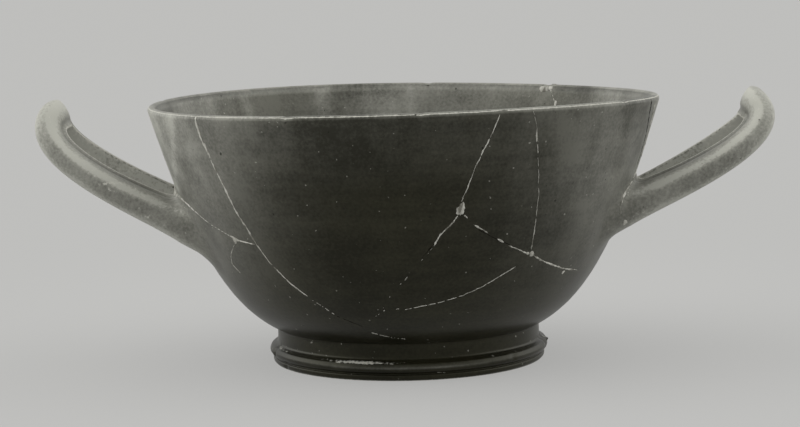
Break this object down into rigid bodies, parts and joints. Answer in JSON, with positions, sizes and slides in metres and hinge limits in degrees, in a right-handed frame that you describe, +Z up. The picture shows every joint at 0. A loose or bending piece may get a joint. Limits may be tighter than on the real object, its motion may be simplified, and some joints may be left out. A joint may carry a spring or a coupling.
{
  "type": "kylix drinking cup",
  "caption": "Shallow-footed ancient drinking cup with a deep flaring bowl, a moulded ring foot and upswept horseshoe handles, in worn black glaze.",
  "frame": {"origin": "on the table under the middle of the foot, on the wheel axis of the bowl", "axes": "+Z up along the wheel axis, +X out along the middle of one handle, -X along the other"},
  "size_m": [0.2295, 0.16, 0.0836],
  "materials": {
    "black_glaze": "olive-black satin gloss over fired clay, worn, cracked and mended with pale plaster"
  },
  "bodies": {
    "root": {"kylix_cup": "black_glaze"}
  },
  "joints": []
}
